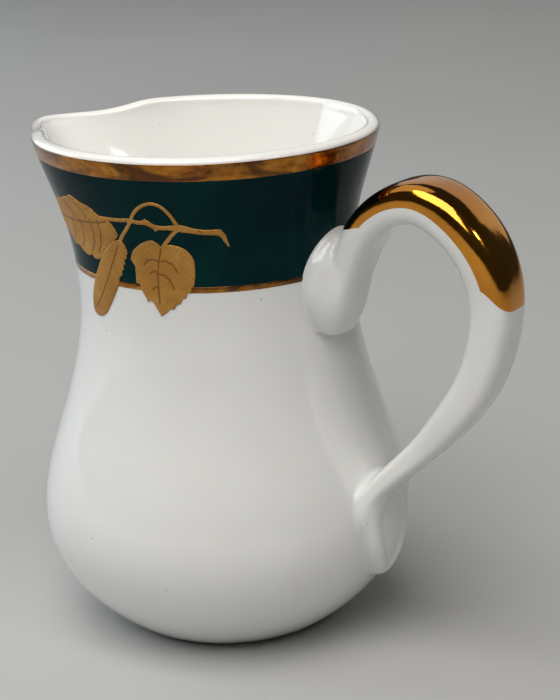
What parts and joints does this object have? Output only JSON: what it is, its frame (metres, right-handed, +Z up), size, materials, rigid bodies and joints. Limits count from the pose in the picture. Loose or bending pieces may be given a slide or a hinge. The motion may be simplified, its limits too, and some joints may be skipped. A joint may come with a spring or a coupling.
{
  "type": "porcelain cream jug",
  "caption": "Porcelain cream jug with a pear-shaped body, pulled spout, looped handle, green band, gilding and gold leaf sprays.",
  "frame": {"origin": "centre of the foot ring's resting face, on the vessel's axis", "axes": "+Z up along the vessel's axis, +X towards the handle, -X towards the spout"},
  "size_m": [0.1201, 0.0814, 0.111],
  "materials": {
    "porcelain_body": "clear gloss glaze over white porcelain",
    "porcelain_handle": "clear gloss glaze over white porcelain",
    "luting_slip": "glazed over with the body",
    "green_enamel": "glossy very dark blue-green enamel",
    "band_gold": "fired gold, mottled brown and bronze",
    "bright_gold": "burnished bright gold",
    "matt_gold": "matt gold transfer with darker veins"
  },
  "bodies": {
    "root": {"body": "porcelain_body", "handle": "porcelain_handle", "upper_slip_joint": "luting_slip", "lower_slip_joint": "luting_slip", "green_band": "green_enamel", "rim_gilding": "band_gold", "lower_gold_line": "band_gold", "handle_gilding": "bright_gold", "front_twig": "matt_gold", "front_heart_leaf": "matt_gold", "front_catkin": "matt_gold", "front_side_leaf": "matt_gold", "back_twig": "matt_gold", "back_heart_leaf": "matt_gold", "back_catkin": "matt_gold", "back_side_leaf": "matt_gold"}
  },
  "joints": []
}
